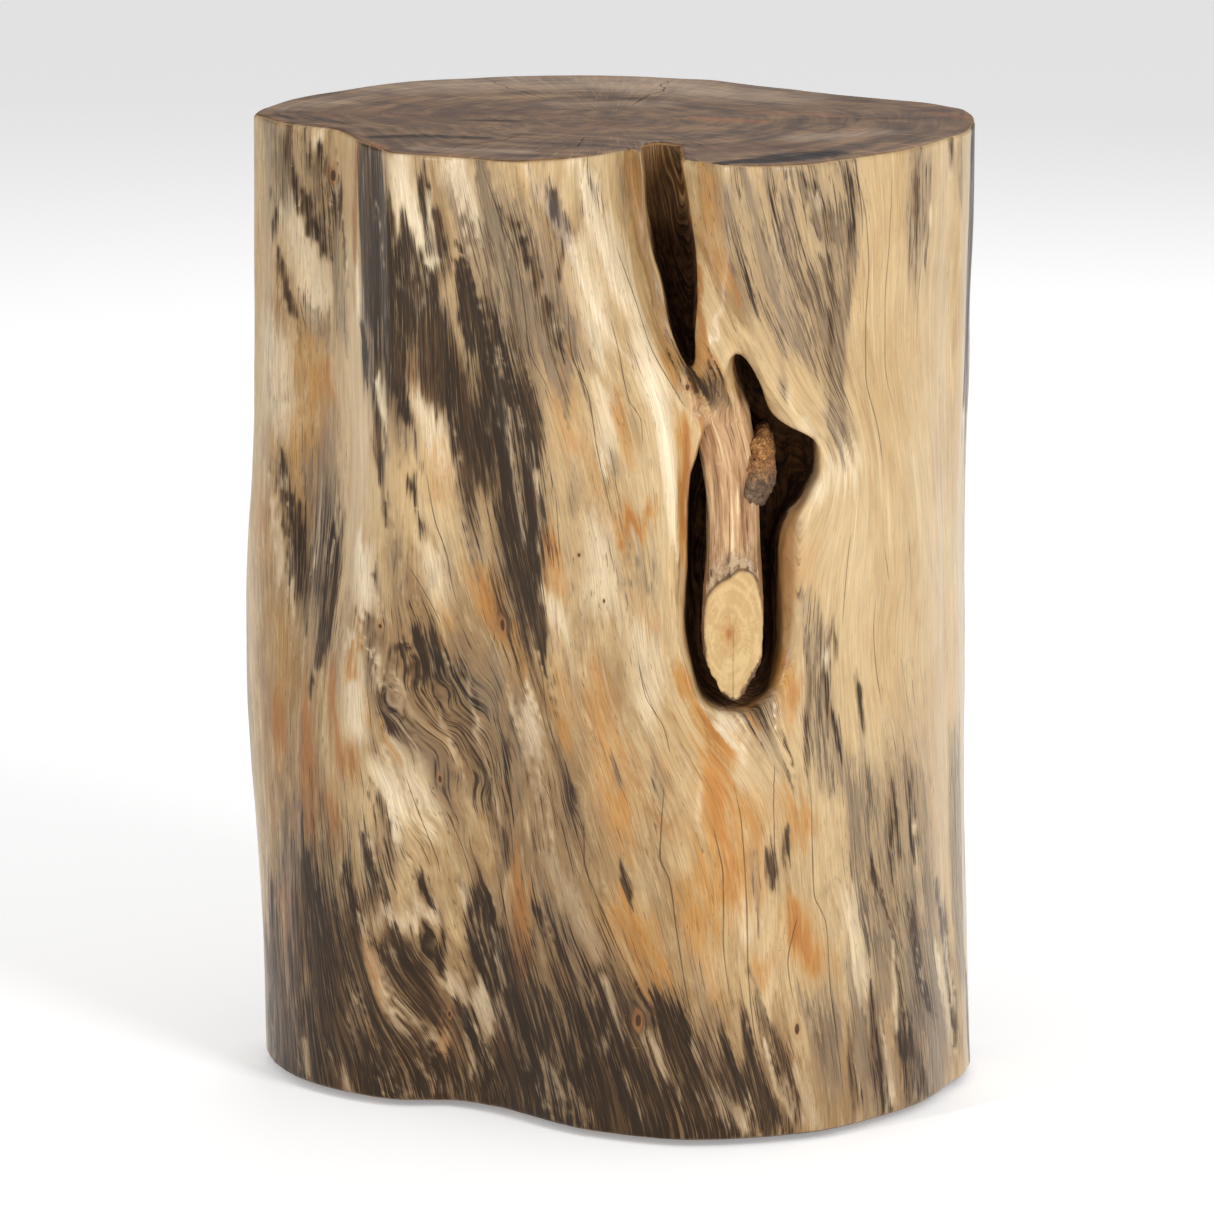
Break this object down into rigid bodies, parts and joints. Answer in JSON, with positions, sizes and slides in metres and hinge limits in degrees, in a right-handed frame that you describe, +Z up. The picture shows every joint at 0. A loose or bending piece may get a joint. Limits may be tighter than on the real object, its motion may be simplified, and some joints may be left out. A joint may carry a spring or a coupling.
{
  "type": "log stool",
  "caption": "Solid log stool or side table sawn from a tree trunk, with a natural cleft and hollow holding an old branch, on low floor glides.",
  "frame": {"origin": "centre of the bounding box at floor level, under the glides", "axes": "+Z up along the trunk, -Y towards the front with the cleft and the hollow, +X to the right seen from the front"},
  "size_m": [0.3455, 0.3309, 0.4572],
  "materials": {
    "spalted_wood": "satin clear coat over spalted pale wood",
    "branch_wood": "satin clear coat over weathered branch wood",
    "ingrown_bark": "rough, crumbly",
    "nylon": "matte",
    "zinc_steel": "bright zinc"
  },
  "bodies": {
    "root": {"log_body": "spalted_wood", "branch_stub": "branch_wood", "bark_remnant": "ingrown_bark", "glide_1": "nylon", "glide_2": "nylon", "glide_3": "nylon", "glide_4": "nylon", "glide_nail_1": "zinc_steel", "glide_nail_2": "zinc_steel", "glide_nail_3": "zinc_steel", "glide_nail_4": "zinc_steel"}
  },
  "joints": []
}
